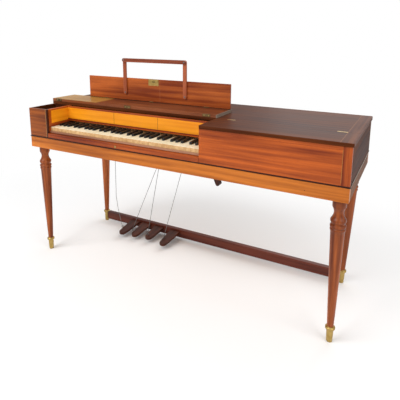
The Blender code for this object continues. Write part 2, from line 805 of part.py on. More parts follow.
def build_pedals():
    middle = RAIL_BOTTOM + RAIL_HEIGHT / 2
    axis_y = DEPTH - BACK_LEG_Y - BACK_RAKE_Y * foot_share(middle)
    left = BACK_LEG_X + BACK_RAKE_X * foot_share(SABOT_HEIGHT) + SABOT_FLANGE + 2 * GAP
    rail_front = axis_y - RAIL_THICK / 2
    rail = block(
        (left, rail_front, RAIL_BOTTOM), (LENGTH - left, rail_front + RAIL_THICK, RAIL_BOTTOM + RAIL_HEIGHT), 0.0015
    )
    add("pedal_rail", rail, DARK_WOOD)
    rear = rail_front - PEDAL_REAR_GAP
    for number, (x, setback) in enumerate(zip(PEDAL_X, PEDAL_SET), 1):
        tip = rear - PEDAL_LENGTH - setback
        shape = pedal_shape(x, tip, rear)
        pivot = (x, rear - PEDAL_PIVOT, PEDAL_REAR_TOP - PEDAL_THICK / 2)
        add(f"pedal_{number}", shape, DARK_WOOD, pivot)
        build_wire(number, rear - PEDAL_PIVOT - WIRE_REACH - WIRE_SET[number - 1], tip, rear)


def pedal_top(y, tip, rear):
    """The height of a pedal's top, which falls towards its tip."""
    return PEDAL_REAR_TOP - PEDAL_DROP * (rear - y) / (rear - tip)


def pedal_shape(x, tip, rear):
    outline = [(x - PEDAL_REAR_WIDTH / 2, rear), (x - PEDAL_TIP_WIDTH / 2, tip + PEDAL_TIP_WIDTH / 2)]
    for step in range(1, 6):
        angle = math.pi * step / 6
        outline.append(
            (x - PEDAL_TIP_WIDTH / 2 * math.cos(angle), tip + PEDAL_TIP_WIDTH / 2 * (1 - math.sin(angle)))
        )
    outline += [(x + PEDAL_TIP_WIDTH / 2, tip + PEDAL_TIP_WIDTH / 2), (x + PEDAL_REAR_WIDTH / 2, rear)]
    mesh = prism(outline, 0.0, PEDAL_THICK, 2)
    for vert in mesh.verts:
        vert.co.z += pedal_top(vert.co.y, tip, rear) - PEDAL_THICK
    return mesh


def build_wire(number, y, tip, rear):
    """A pull wire from the pedal's top to the underside of the case."""
    low = pedal_top(y, tip, rear) + GAP
    high = STAND_HEIGHT - 0.0008
    points = []
    for x, height in WIRE_ROUTES[number - 1]:
        points.append((x, y, low if height == 0.0 else high if height == 1.0 else height))
    data = bpy.data.curves.new(f"pull_wire_{number}", "CURVE")
    data.dimensions = "3D"
    data.bevel_depth = WIRE_RADIUS
    data.bevel_resolution = 1
    data.use_fill_caps = True
    data.materials.append(STEEL)
    spline = data.splines.new("POLY")
    spline.points.add(len(points) - 1)
    start = Vector(points[0])
    for point, spot in zip(spline.points, points):
        point.co = (*(Vector(spot) - start), 1.0)
    wire = bpy.data.objects.new(f"pull_wire_{number}", data)
    bpy.context.scene.collection.objects.link(wire)
    place(wire, points[0], None)


def build_knee_lever():
    """A lever under the case that the knee pushes aside."""
    radius = KNEE_THICK / 2
    pivot_z = STAND_HEIGHT - 0.0006 - radius
    outline = []
    for a, b in rounded_outline(KNEE_LENGTH, KNEE_THICK):
        outline.append(
            (
                KNEE_X + a * math.cos(KNEE_LEAN) + b * math.sin(KNEE_LEAN),
                pivot_z + a * math.sin(KNEE_LEAN) - b * math.cos(KNEE_LEAN),
            )
        )
    shape = prism(outline, KNEE_Y - KNEE_WIDTH / 2, KNEE_Y + KNEE_WIDTH / 2, 1)
    add("knee_lever", shape, DARK_WOOD, (KNEE_X, KNEE_Y, pivot_z))


clear_scene()
PIANO = bpy.data.objects.new("piano", None)
PIANO.location = (-LENGTH / 2, -DEPTH / 2, 0.0)
bpy.context.scene.collection.objects.link(PIANO)

WOOD = finish("mahogany", (0.22, 0.07, 0.025), 0.25)
LIGHT_WOOD = finish("light_mahogany", (0.40, 0.15, 0.04), 0.30)
DARK_WOOD = finish("dark_mahogany", (0.08, 0.025, 0.015), 0.40)
SATINWOOD = finish("satinwood", (0.80, 0.36, 0.05), 0.30)
IVORY = finish("ivory", (0.80, 0.72, 0.52), 0.35)
EBONY = finish("ebony", (0.015, 0.013, 0.012), 0.30)
BRASS = finish("brass", (0.62, 0.46, 0.20), 0.35, 1.0)
STEEL = finish("iron_wire", (0.35, 0.35, 0.34), 0.40, 1.0)
PINE = finish("pine", (0.50, 0.32, 0.16), 0.60)
OAK = finish("oak", (0.35, 0.22, 0.10), 0.55)
SPRUCE = finish("spruce", (0.60, 0.42, 0.22), 0.50)

build_case()
build_tool_compartment()
build_keywell()
build_key_frame()
build_moving_octave()
build_key_bank("bass_keys", 0, FIRST_MOVING - 1)
build_key_bank("treble_keys", FIRST_MOVING + MOVING_NATURALS, NATURALS - 1)
build_strung_part()
build_hammers()
build_lid()
build_aprons()
build_legs()
build_pedals()
build_knee_lever()
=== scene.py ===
# A square piano of about 1800 on a four-legged stand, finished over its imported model.
# Places are in metres in the frame's axes: x along the keyboard, y away from the player, z up.

import math

import bmesh
import bpy
from mathutils import Matrix, Vector


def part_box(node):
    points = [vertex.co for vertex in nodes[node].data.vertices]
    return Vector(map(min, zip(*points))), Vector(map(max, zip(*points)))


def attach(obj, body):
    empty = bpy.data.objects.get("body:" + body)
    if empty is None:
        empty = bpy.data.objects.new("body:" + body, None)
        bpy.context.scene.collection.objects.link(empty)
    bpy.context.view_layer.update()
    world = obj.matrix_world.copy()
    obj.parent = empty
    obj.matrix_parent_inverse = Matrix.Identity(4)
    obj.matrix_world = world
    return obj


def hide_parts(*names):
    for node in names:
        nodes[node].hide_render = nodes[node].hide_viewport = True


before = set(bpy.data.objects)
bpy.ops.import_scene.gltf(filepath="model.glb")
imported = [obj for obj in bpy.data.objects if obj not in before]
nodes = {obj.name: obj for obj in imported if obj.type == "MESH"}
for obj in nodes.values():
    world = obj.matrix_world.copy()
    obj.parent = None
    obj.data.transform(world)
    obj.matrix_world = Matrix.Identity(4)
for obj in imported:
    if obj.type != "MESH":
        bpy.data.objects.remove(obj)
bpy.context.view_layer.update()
bpy.context.scene.view_settings.view_transform = "Standard"

# Camera
# It stands to the right of the player, a little above the lid, and looks back along the keyboard.
# Its place, angles and lens were fitted to the corners of the case.

CAMERA_PLACE = Vector((0.9421, -1.6720, 1.1330))
CAMERA_YAW = 0.4879
CAMERA_PITCH = 0.2002
CAMERA_ROLL = 0.0064
CAMERA_LENS = 37.30
CAMERA_SHIFT = -0.2


def link(thing):
    bpy.context.scene.collection.objects.link(thing)
    return thing


def aim_camera():
    level = Vector((-math.sin(CAMERA_YAW), math.cos(CAMERA_YAW), 0))
    side = Vector((math.cos(CAMERA_YAW), math.sin(CAMERA_YAW), 0))
    up = Vector((0, 0, 1))
    ahead = level * math.cos(CAMERA_PITCH) - up * math.sin(CAMERA_PITCH)
    top = up * math.cos(CAMERA_PITCH) + level * math.sin(CAMERA_PITCH)
    right = side * math.cos(CAMERA_ROLL) + top * math.sin(CAMERA_ROLL)
    top = top * math.cos(CAMERA_ROLL) - side * math.sin(CAMERA_ROLL)
    data = bpy.data.cameras.new("camera")
    data.lens = CAMERA_LENS
    data.shift_y = CAMERA_SHIFT
    camera = link(bpy.data.objects.new("camera", data))
    turn = Matrix((right, top, -ahead)).transposed().to_4x4()
    camera.matrix_world = Matrix.Translation(CAMERA_PLACE) @ turn
    bpy.context.scene.camera = camera


aim_camera()

# Room
# A white floor and a white surround, lit by three large soft lamps and the sky around them.
# The floor keeps the shadows near the piano and fades into the white behind it.

FLOOR_HALF = 14
FLOOR_GREY = 0.93
FADE_START = 0.75
FADE_END = 2.1
SKY_LIGHT = 0.62
LAMP_TARGET = Vector((0, 0, 0.5))
WHITE = (1, 1, 1, 1)


def nodes_of(material):
    material.use_nodes = True
    return material.node_tree, material.node_tree.nodes


def add_node(tree, kind, settings=(), **inputs):
    """A node with its settings, and inputs given as values or as the sockets that feed them.

    An input is named with its spaces as underscores, or numbered as i0, i1 and so on.
    """
    made = tree.nodes.new(kind)
    for key, value in settings:
        setattr(made, key, value)
    for key, value in inputs.items():
        numbered = key[1:].isdigit()
        socket = made.inputs[int(key[1:]) if numbered else key.replace("_", " ")]
        if isinstance(value, bpy.types.NodeSocket):
            tree.links.new(value, socket)
        else:
            socket.default_value = value
    return made


def reckon(tree, operation, *values):
    """The result of a sum on numbers or sockets."""
    inputs = {f"i{place}": value for place, value in enumerate(values)}
    return add_node(tree, "ShaderNodeMath", [("operation", operation)], **inputs).outputs[0]


def ramp(tree, value, low, high):
    """Zero up to low and one from high on."""
    made = add_node(
        tree, "ShaderNodeMapRange", [("clamp", True)], Value=value, From_Min=low, From_Max=high
    )
    return made.outputs[0]


def light_room():
    world = bpy.data.worlds.new("white_surround")
    bpy.context.scene.world = world
    world.use_nodes = True
    tree = world.node_tree
    tree.nodes.clear()
    seen = add_node(tree, "ShaderNodeLightPath").outputs["Is Camera Ray"]
    sky = add_node(tree, "ShaderNodeBackground", Color=WHITE, Strength=SKY_LIGHT)
    backdrop = add_node(tree, "ShaderNodeBackground", Color=WHITE, Strength=1.0)
    mix = add_node(
        tree, "ShaderNodeMixShader", i0=seen, i1=sky.outputs[0], i2=backdrop.outputs[0]
    )
    add_node(tree, "ShaderNodeOutputWorld", Surface=mix.outputs[0])
    for name, place, size, power in (
        ("key_lamp", (-1.6, -2.6, 3.2), 2.6, 95),
        ("fill_lamp", (2.8, -1.2, 2.4), 2.2, 38),
        ("back_lamp", (0.4, 2.6, 2.6), 2.4, 30),
    ):
        data = bpy.data.lights.new(name, "AREA")
        data.size = size
        data.energy = power
        lamp = link(bpy.data.objects.new(name, data))
        lamp.location = place
        lamp.rotation_euler = (LAMP_TARGET - Vector(place)).to_track_quat("-Z", "Y").to_euler()


def lay_floor():
    mesh = bmesh.new()
    bmesh.ops.create_grid(mesh, x_segments=1, y_segments=1, size=FLOOR_HALF)
    data = bpy.data.meshes.new("floor")
    mesh.to_mesh(data)
    mesh.free()
    floor = link(bpy.data.objects.new("floor", data))
    paper = bpy.data.materials.new("white_paper")
    tree, made = nodes_of(paper)
    shader = made["Principled BSDF"]
    shader.inputs["Base Color"].default_value = (FLOOR_GREY, FLOOR_GREY, FLOOR_GREY, 1)
    shader.inputs["Roughness"].default_value = 0.9
    shader.inputs["Specular IOR Level"].default_value = 0.0
    place = add_node(tree, "ShaderNodeTexCoord").outputs["Object"]
    reach = add_node(tree, "ShaderNodeVectorMath", [("operation", "LENGTH")], i0=place)
    fade = ramp(tree, reach.outputs["Value"], FADE_START, FADE_END)
    seen = add_node(tree, "ShaderNodeLightPath").outputs["Is Camera Ray"]
    share = reckon(tree, "MULTIPLY", fade, seen)
    glow = add_node(tree, "ShaderNodeEmission", Color=WHITE, Strength=1.0)
    mix = add_node(
        tree, "ShaderNodeMixShader", i0=share, i1=shader.outputs[0], i2=glow.outputs[0]
    )
    tree.links.new(mix.outputs[0], made["Material Output"].inputs["Surface"])
    data.materials.append(paper)


light_room()
lay_floor()

# Case
# Boards of mahogany veneer on oak. The right front panel has a crossbanded end and a pale line.
# A fine bead runs round the joint between the case and the stand, paler grey on the right end.

X, Y, Z = 0, 1, 2
FAR = 10.0
LINE_WIDTH = 0.0014
TOP_LINE_WIDTH = 0.00084
BAND_WIDTH = 0.030
LINE_ABOVE_FOOT = 0.014
LINE_BELOW_TOP = 0.012
LINE_START = 0.004
FOOT_BAND = 0.006
LEFT_LINE_START = 0.0092
LEFT_LINE_END = 0.0075
BEAD = 0.0026
BEAD_ROUND = 0.3 * BEAD
BEAD_RISE = 0.0006
CLEAR = 0.0001
CREASE_ANGLE = math.radians(35)
VARNISH_ROUGHNESS = 0.22


def paint(red, green, blue):
    """A colour written as it looks on a screen, from 0 to 255, as the shader wants it."""
    return tuple((value / 255) ** 2.2 for value in (red, green, blue)) + (1.0,)


MAHOGANY = (paint(108, 40, 14), paint(192, 92, 34))
DARK_MAHOGANY = (paint(44, 18, 10), paint(84, 42, 24))
SHADED_MAHOGANY = (paint(50, 22, 10), paint(98, 52, 24))
LEFT_MAHOGANY = (paint(92, 42, 16), paint(166, 88, 34))
STRING_LINE = (paint(168, 112, 58), paint(196, 142, 84))
PLAIN_LINE = (MAHOGANY[0], MAHOGANY[0])
BEAD_BLACK = (paint(30, 14, 10), paint(58, 28, 20))
BEAD_GREY = (paint(120, 108, 96), paint(168, 158, 146))
OAK = (paint(104, 74, 42), paint(150, 112, 70))
PINE = (paint(150, 108, 62), paint(196, 152, 98))


def make_group(name, inputs, outputs):
    group = bpy.data.node_groups.new(name, "ShaderNodeTree")
    for label, kind, value in inputs:
        socket = group.interface.new_socket(label, in_out="INPUT", socket_type=kind)
        if value is not None:
            socket.default_value = value
    for label, kind in outputs:
        group.interface.new_socket(label, in_out="OUTPUT", socket_type=kind)
    return group, group.nodes.new("NodeGroupInput"), group.nodes.new("NodeGroupOutput")


def noise_of(tree, place, stretch, detail=4.0):
    spread = add_node(tree, "ShaderNodeMapping", Vector=place, Scale=stretch).outputs[0]
    noise = add_node(tree, "ShaderNodeTexNoise", Vector=spread, Scale=1.0, Detail=detail)
    return noise.outputs["Fac"]


def mix_colours(tree, share, first, second):
    """From the first colour at share 0 to the second at share 1, as values or sockets."""
    mixed = add_node(tree, "ShaderNodeMix", [("data_type", "RGBA")], i0=share, i6=first, i7=second)
    return mixed.outputs[2]


def make_grain_group():
    """Figured wood whose fibres run along the vector's x, with darker pores."""
    colour, number = "NodeSocketColor", "NodeSocketFloat"
    group, given, put = make_group(
        "figured_grain",
        [
            ("Place", "NodeSocketVector", None),
            ("Dark", colour, (0.1, 0.03, 0.01, 1)),
            ("Light", colour, (0.3, 0.1, 0.04, 1)),
            ("Roughness", number, 0.3),
            ("Pores", number, 0.35),
        ],
        [("Color", colour), ("Roughness", number), ("Height", number)],
    )
    place, dark = given.outputs["Place"], given.outputs["Dark"]
    cloud = noise_of(group, place, (1.6, 5.0, 5.0))
    streak = noise_of(group, place, (2.2, 70.0, 70.0), 6.0)
    pores = noise_of(group, place, (45.0, 900.0, 900.0), 2.0)
    both = reckon(group, "ADD", reckon(group, "MULTIPLY_ADD", cloud, 0.9, -0.45), streak)
    figure = mix_colours(group, ramp(group, both, 0.28, 0.74), dark, given.outputs["Light"])
    pore_share = reckon(group, "MULTIPLY", ramp(group, pores, 0.56, 0.72), given.outputs["Pores"])
    group.links.new(mix_colours(group, pore_share, figure, dark), put.inputs["Color"])
    rubbed = reckon(group, "MULTIPLY_ADD", cloud, 0.16, given.outputs["Roughness"])
    group.links.new(reckon(group, "SUBTRACT", rubbed, 0.08), put.inputs["Roughness"])
    group.links.new(reckon(group, "SUBTRACT", streak, pore_share), put.inputs["Height"])
    return group


def make_band_group():
    """One where a value lies between two limits, otherwise zero."""
    number = "NodeSocketFloat"
    group, given, put = make_group(
        "between",
        [("Value", number, 0.0), ("Low", number, 0.0), ("High", number, 1.0)],
        [("Mask", number)],
    )
    over = reckon(group, "GREATER_THAN", given.outputs["Value"], given.outputs["Low"])
    under = reckon(group, "LESS_THAN", given.outputs["Value"], given.outputs["High"])
    group.links.new(reckon(group, "MULTIPLY", over, under), put.inputs["Mask"])
    return group


GRAIN = make_grain_group()
BETWEEN = make_band_group()


def grain_node(tree, coordinates, colours, along, roughness, pores):
    """The grain, turned so that its fibres run along an axis."""
    split = add_node(tree, "ShaderNodeSeparateXYZ", Vector=coordinates).outputs
    first, second, third = [along] + [axis for axis in (X, Y, Z) if axis != along]
    turned = add_node(tree, "ShaderNodeCombineXYZ", X=split[first], Y=split[second], Z=split[third])
    return add_node(
        tree,
        "ShaderNodeGroup",
        [("node_tree", GRAIN)],
        Place=turned.outputs[0],
        Dark=colours[0],
        Light=colours[1],
        Roughness=roughness,
        Pores=pores,
    )


def above(axis, low):
    return axis, low, FAR


def below(axis, high):
    return axis, -FAR, high


def wood(name, colours, along=X, roughness=0.38, pores=0.35, coat=0.06, shine=0.22, inlays=()):
    """A wood, and its inlays as (limits, colours, grain axis), each limit (axis, low, high)."""
    material = bpy.data.materials.new(name)
    tree, made = nodes_of(material)
    shader = made["Principled BSDF"]
    coordinates = add_node(tree, "ShaderNodeTexCoord").outputs["Object"]
    split = add_node(tree, "ShaderNodeSeparateXYZ", Vector=coordinates)
    base = grain_node(tree, coordinates, colours, along, roughness, pores)
    colour = base.outputs["Color"]
    for limits, inlay_colours, inlay_along in inlays:
        mask = None
        for axis, low, high in limits:
            band = add_node(
                tree,
                "ShaderNodeGroup",
                [("node_tree", BETWEEN)],
                Value=split.outputs[axis],
                Low=low,
                High=high,
            )
            here = band.outputs["Mask"]
            mask = here if mask is None else reckon(tree, "MULTIPLY", mask, here)
        inlay = grain_node(tree, coordinates, inlay_colours, inlay_along, roughness, pores)
        colour = mix_colours(tree, mask, colour, inlay.outputs["Color"])
    tree.links.new(colour, shader.inputs["Base Color"])
    tree.links.new(base.outputs["Roughness"], shader.inputs["Roughness"])
    shader.inputs["Coat Weight"].default_value = coat
    shader.inputs["Coat Roughness"].default_value = VARNISH_ROUGHNESS
    shader.inputs["Specular IOR Level"].default_value = shine
    relief = base.outputs["Height"]
    bump = add_node(tree, "ShaderNodeBump", Height=relief, Strength=0.12, Distance=0.0006)
    tree.links.new(bump.outputs[0], shader.inputs["Normal"])
    return material


def dress(material, *names):
    """Gives CAD nodes a finish."""
    for name in names:
        for slot in nodes[name].material_slots:
            slot.material = material


def block_mesh(low, high, round_by=0.0):
    """A box between two corners, with eased edges if round_by is given."""
    mesh = bmesh.new()
    bmesh.ops.create_cube(mesh, size=1.0)
    size = Vector(high) - Vector(low)
    bmesh.ops.scale(mesh, vec=size, verts=mesh.verts)
    bmesh.ops.translate(mesh, vec=Vector(low) + size / 2, verts=mesh.verts)
    if round_by:
        bmesh.ops.bevel(
            mesh,
            geom=mesh.edges[:],
            offset=round_by,
            segments=2,
            profile=0.5,
            affect="EDGES",
            material=-1,
        )
    return mesh


def make(name, mesh, material, body):
    """Makes a piece that rides on a body."""
    bmesh.ops.recalc_face_normals(mesh, faces=mesh.faces)
    data = bpy.data.meshes.new(name)
    mesh.to_mesh(data)
    mesh.free()
    data.materials.append(material)
    data.shade_smooth()
    data.set_sharp_from_angle(angle=CREASE_ANGLE)
    piece = link(bpy.data.objects.new(name, data))
    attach(piece, body)
    return piece


panel_low, panel_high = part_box("front_panel_right")
band_start = panel_high.x - BAND_WIDTH
line_low = panel_low.z + LINE_ABOVE_FOOT
line_high = panel_high.z - LINE_BELOW_TOP
upright_line = [(X, band_start - LINE_WIDTH, band_start), (Z, line_low, line_high)]
long_line = [
    (X, panel_low.x + LINE_START, band_start),
    (Z, line_high - TOP_LINE_WIDTH, line_high),
]
panel_inlays = [
    ([above(X, band_start)], MAHOGANY, Z),
    (upright_line, STRING_LINE, Z),
    (long_line, PLAIN_LINE, X),
    ([below(Z, panel_low.z + FOOT_BAND)], DARK_MAHOGANY, X),
]
dress(wood("case_mahogany", MAHOGANY, inlays=panel_inlays), "front_panel_right")

# The case's ends take a darker, duller copy of the mahogany: painted shade on the side faces.
shaded_end_wood = wood("end_mahogany_painted_shade", SHADED_MAHOGANY, along=Y, roughness=0.5, coat=0.0, shine=0.04)
dress(shaded_end_wood, "left_end", "right_end")

left_low, left_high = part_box("front_panel_left")
left_line = (X, left_high.x - LEFT_LINE_START, left_high.x - LEFT_LINE_END)
left_inlays = [
    ([left_line], STRING_LINE, Z),
    ([above(X, left_high.x - LEFT_LINE_END)], DARK_MAHOGANY, Z),
    ([below(Z, left_low.z + FOOT_BAND)], DARK_MAHOGANY, X),
]
dress(wood("left_panel_mahogany", LEFT_MAHOGANY, inlays=left_inlays), "front_panel_left")
dress(wood("back_oak", OAK, roughness=0.55, coat=0.0), "back_board")
dress(wood("bottom_pine", PINE, roughness=0.65, coat=0.0), "bottom_board")

back_low, back_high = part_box("back_board")
left_side, right_side = back_low.x, back_high.x
front_side, back_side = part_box("lock_rail")[0].y, back_high.y
bead_low = panel_low.z + BEAD_RISE
bead_high = bead_low + BEAD
bead_black = wood("bead_ebonised", BEAD_BLACK, roughness=0.4)
bead_grey = wood("bead_pale_grey", BEAD_GREY, along=Y, roughness=0.4)
for name, bead_finish, (x_low, x_high), (y_low, y_high) in (
    (
        "front_bead",
        bead_black,
        (left_side - BEAD, right_side + BEAD),
        (front_side - BEAD, front_side - CLEAR),
    ),
    ("left_bead", bead_black, (left_side - BEAD, left_side - CLEAR), (front_side, back_side)),
    ("right_bead", bead_grey, (right_side + CLEAR, right_side + BEAD), (front_side, back_side)),
):
    bead = block_mesh((x_low, y_low, bead_low), (x_high, y_high, bead_high), BEAD_ROUND)
    make(name, bead, bead_finish, "case")

# Keywell
# The nameboard and the left cheek are satinwood with mahogany bands and fine dark lines.
# Below them a mahogany strip hides the keys' tails, and the lock rail closes the front.
# An oval brass plate is nailed round the keyhole in the lock rail, and a dark block on its face is
# painted shade for the key's slot.

STRIP_HEIGHT = 0.0055
RED_LINE_HEIGHT = 0.006
TOP_BAND_HEIGHT = 0.008
CARTOUCHE_LEFT = -0.346
CARTOUCHE_RIGHT = -0.092
CARTOUCHE_LINE = 0.0016
CHEEK_FRONT_BAND = 0.016
CHEEK_FACE_DEPTH = 0.010
LEDGE_TOP = 0.658
LEDGE_SHADE_START = 0.0004
LEDGE_SHADE_END = 0.0022
RAIL_FOOT_BAND = 0.005
KEYHOLE_X = -0.230
KEYHOLE_Z = 0.6455
KEYHOLE_RADIUS = 0.0042
KEYHOLE_STRETCH = 1.35
KEYHOLE_PROUD = 0.0007
KEYHOLE_SIDES = 24
SET_BACK = 0.00005
SLOT_HALF = 0.0009
SLOT_BELOW = 0.0030
SLOT_ABOVE = 0.0022
SLOT_FRONT = 0.0011
SLOT_REAR = 0.0008
SLOT_ROUND = 0.0001

SATINWOOD = (paint(222, 128, 16), paint(250, 162, 36))
DARK_LINE = (paint(60, 26, 14), paint(84, 40, 22))
RED_LINE = (paint(104, 36, 20), paint(134, 54, 30))
SLIP_EDGE = (paint(150, 104, 80), paint(186, 140, 112))
EBONY = (paint(14, 12, 11), paint(34, 30, 28))


def metal(name, dull, bright, roughness):
    """A worn metal, brighter where it is rubbed."""
    material = bpy.data.materials.new(name)
    tree, made = nodes_of(material)
    shader = made["Principled BSDF"]
    coordinates = add_node(tree, "ShaderNodeTexCoord").outputs["Object"]
    stain = noise_of(tree, coordinates, (60, 60, 60))
    scratch = noise_of(tree, coordinates, (420, 420, 420), 2.0)
    tree.links.new(mix_colours(tree, stain, dull, bright), shader.inputs["Base Color"])
    rough = reckon(tree, "MULTIPLY_ADD", stain, 0.25, roughness - 0.12)
    tree.links.new(rough, shader.inputs["Roughness"])
    shader.inputs["Metallic"].default_value = 1.0
    bump = add_node(tree, "ShaderNodeBump", Height=scratch, Strength=0.1, Distance=0.0002)
    tree.links.new(bump.outputs[0], shader.inputs["Normal"])
    return material


BRASS = metal("aged_brass", paint(150, 118, 62), paint(206, 178, 112), 0.36)


def disc_mesh(place, radius, segments, proud, taper=1.0, stretch=1.0):
    """A flat disc that faces the player, raised towards them and narrower in front by taper."""
    mesh = bmesh.new()
    bmesh.ops.create_circle(mesh, cap_ends=True, segments=segments, radius=radius)
    made = bmesh.ops.extrude_face_region(mesh, geom=mesh.faces[:])
    raised = [item for item in made["geom"] if isinstance(item, bmesh.types.BMVert)]
    bmesh.ops.translate(mesh, vec=(0, 0, proud), verts=raised)
    bmesh.ops.scale(mesh, vec=(taper, taper, 1), verts=raised)
    bmesh.ops.scale(mesh, vec=(1, stretch, 1), verts=mesh.verts)
    bmesh.ops.rotate(mesh, matrix=Matrix.Rotation(math.pi / 2, 3, "X"), verts=mesh.verts)
    bmesh.ops.translate(mesh, vec=place, verts=mesh.verts)
    return mesh


board_low, board_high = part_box("nameboard")
strip_top = board_low.z + STRIP_HEIGHT
red_line_top = strip_top + RED_LINE_HEIGHT
satin_inlays = [
    ([(X, CARTOUCHE_LEFT, CARTOUCHE_LEFT + CARTOUCHE_LINE)], DARK_LINE, Z),
    ([(X, CARTOUCHE_RIGHT - CARTOUCHE_LINE, CARTOUCHE_RIGHT)], DARK_LINE, Z),
    ([below(Z, strip_top)], MAHOGANY, X),
    ([(Z, strip_top, red_line_top)], RED_LINE, X),
    ([above(Z, board_high.z - TOP_BAND_HEIGHT)], MAHOGANY, X),
]
dress(
    wood("nameboard_satinwood", SATINWOOD, roughness=0.36, pores=0.12, inlays=satin_inlays),
    "nameboard",
)

# Beyond its inner face the cheek is dark mahogany: painted shade for the dark open hollow beside
# the keywell.
cheek_low, cheek_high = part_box("left_cheek")
cheek_inlays = [
    ([below(Y, cheek_low.y + CHEEK_FRONT_BAND)], MAHOGANY, Z),
    ([above(Z, cheek_high.z - TOP_BAND_HEIGHT)], MAHOGANY, Y),
    ([below(Z, strip_top)], MAHOGANY, Y),
    ([below(X, cheek_high.x - CHEEK_FACE_DEPTH)], DARK_MAHOGANY, Y),
]
dress(
    wood("cheek_satinwood", SATINWOOD, along=Y, roughness=0.36, pores=0.12, inlays=cheek_inlays),
    "left_cheek",
)
dress(wood("belly_rail_satinwood", SATINWOOD, along=Y, roughness=0.4, pores=0.12), "belly_rail")

rail_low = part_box("lock_rail")[0]
ledge_shade_top = LEDGE_TOP + LEDGE_SHADE_END
# The dark line just above the ledge is painted shade, and the slip's paler colour starts above it.
slip_inlays = [
    ([(Z, LEDGE_TOP + LEDGE_SHADE_START, ledge_shade_top)], DARK_LINE, X),
    ([above(Z, ledge_shade_top)], SLIP_EDGE, X),
    ([below(Z, rail_low.z + RAIL_FOOT_BAND)], DARK_MAHOGANY, X),
]
dress(wood("lock_rail_mahogany", MAHOGANY, inlays=slip_inlays), "lock_rail")

keyhole_place = (KEYHOLE_X, rail_low.y - SET_BACK, KEYHOLE_Z)
keyhole_oval = disc_mesh(
    keyhole_place, KEYHOLE_RADIUS, KEYHOLE_SIDES, KEYHOLE_PROUD, stretch=KEYHOLE_STRETCH
)
make("keyhole_plate", keyhole_oval, BRASS, "case")
# The slot is a dark block: painted shade for the opening.
keyhole_cut = block_mesh(
    (KEYHOLE_X - SLOT_HALF, rail_low.y - SLOT_FRONT, KEYHOLE_Z - SLOT_BELOW),
    (KEYHOLE_X + SLOT_HALF, rail_low.y - SLOT_REAR, KEYHOLE_Z + SLOT_ABOVE),
    SLOT_ROUND,
)
hole_shade = wood("keyhole_shadow", EBONY, roughness=0.8, coat=0.0)
make("keyhole_slot_shade", keyhole_cut, hole_shade, "case")

# Keys
# Limewood levers with thin ivory plates on the naturals and ebony blocks on the sharps.
# The ivory is in two plates, with a fine joint where the head meets the tail.

IVORY_THICK = 0.0016
IVORY_END = 0.001
JOINT_BEFORE_SHARP = 0.0022
JOINT_WIDTH = 0.0004
JOINT_DEPTH = 0.0005
PLATE_LIFT = 0.0002
IVORY = (paint(222, 206, 168), paint(242, 230, 200))
LIMEWOOD = (paint(188, 142, 92), paint(224, 184, 132))

natural_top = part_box("key_c")[1].z
ivory_rear = board_low.y - IVORY_END
head_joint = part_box("key_c_sharp")[0].y - JOINT_BEFORE_SHARP
plate_top = natural_top + PLATE_LIFT
ivory_plate = [(Z, natural_top - IVORY_THICK, plate_top), below(Y, ivory_rear)]
joint = [(Y, head_joint, head_joint + JOINT_WIDTH), (Z, natural_top - JOINT_DEPTH, plate_top)]
natural_finish = wood(
    "natural_key_ivory",
    LIMEWOOD,
    along=Y,
    roughness=0.5,
    pores=0.15,
    coat=0.0,
    inlays=[(ivory_plate, IVORY, Y), (joint, LIMEWOOD, X), ([above(Z, plate_top)], EBONY, Y)],
)
sharp_finish = wood(
    "sharp_key_ebony",
    EBONY,
    along=Y,
    roughness=0.5,
    pores=0.2,
    coat=0.0,
    inlays=[([above(Y, ivory_rear + IVORY_END)], LIMEWOOD, Y)],
)
dress(natural_finish, "bass_keys", "treble_keys", *[f"key_{letter}" for letter in "cdefgab"])
dress(sharp_finish, *[f"key_{letter}_sharp" for letter in "cdfga"])
dress(wood("key_frame_pine", PINE, roughness=0.6, coat=0.0), "key_frame")

# Inside the case
# A thin spruce soundboard, an oak wrest plank with its pins, and oak rails for the hammers.
# Iron strings run between the hitch rail and the pins.

SPRUCE = (paint(176, 132, 78), paint(214, 174, 118))
IRON = metal("iron", paint(96, 94, 92), paint(150, 148, 146), 0.42)

soundboard_wood = wood(
    "soundboard_spruce", SPRUCE, along=Y, roughness=0.5, coat=0.05, pores=0.2
)
dress(soundboard_wood, "soundboard")
inner_oak = wood("inner_oak", OAK, roughness=0.55, coat=0.0)
dress(inner_oak, "wrest_plank", "hitch_rail", "hammer_rail")
dress(IRON, "strings")

# Lid
# A solid mahogany lid in three parts. The keyboard flap lies folded back, polished underside up.
# Thin brass hinges are let in along its joints, and a faint line crosses it near the right end.

LID_LINE_INSET = 0.042
LID_SKIN = 0.0005
LID_HINGE_PLACES = (0.262, 0.709)
LID_HINGE_LONG = 0.037
LID_HINGE_LEAF = 0.0050
LEAF_GAP = 0.0004
LEAF_LIFT = 0.00002
LEAF_PROUD = 0.0001
FLAP_HINGE_PLACES = (-0.730, -0.281, 0.144)
FLAP_HINGE_HALF = 0.019
FLAP_HINGE_FRONT = 0.0009
FLAP_HINGE_DEPTH = 0.004
FLAP_HINGE_PROUD = 0.0004
FLAP_SCREW_REACH = 0.011
FLAP_SCREW_RADIUS = 0.0024
EDGE_LEAF_RISE = 0.0012
EDGE_LEAF_ROUND = 0.0002
TOP_LEAF_ROUND = 0.0001
SCREW_SIDES = 20
SCREW_TAPER = 0.8
FLAP_PALE_LENGTH = 0.30
FLAP_SKIN = 0.0008
FLAP_END = 0.004
LID_MAHOGANY = (paint(58, 26, 12), paint(104, 56, 28))
LID_END = (paint(72, 34, 16), paint(116, 66, 36))
FAINT_LINE = (paint(134, 88, 56), paint(158, 108, 74))
FLAP_MAHOGANY = (paint(84, 40, 20), paint(140, 78, 44))
FLAP_PALE = (paint(150, 104, 46), paint(184, 138, 66))
FLAP_END_GRAIN = (paint(110, 96, 84), paint(140, 124, 110))
DULL_BRASS = metal("dull_brass", paint(84, 66, 44), paint(134, 112, 78), 0.45)

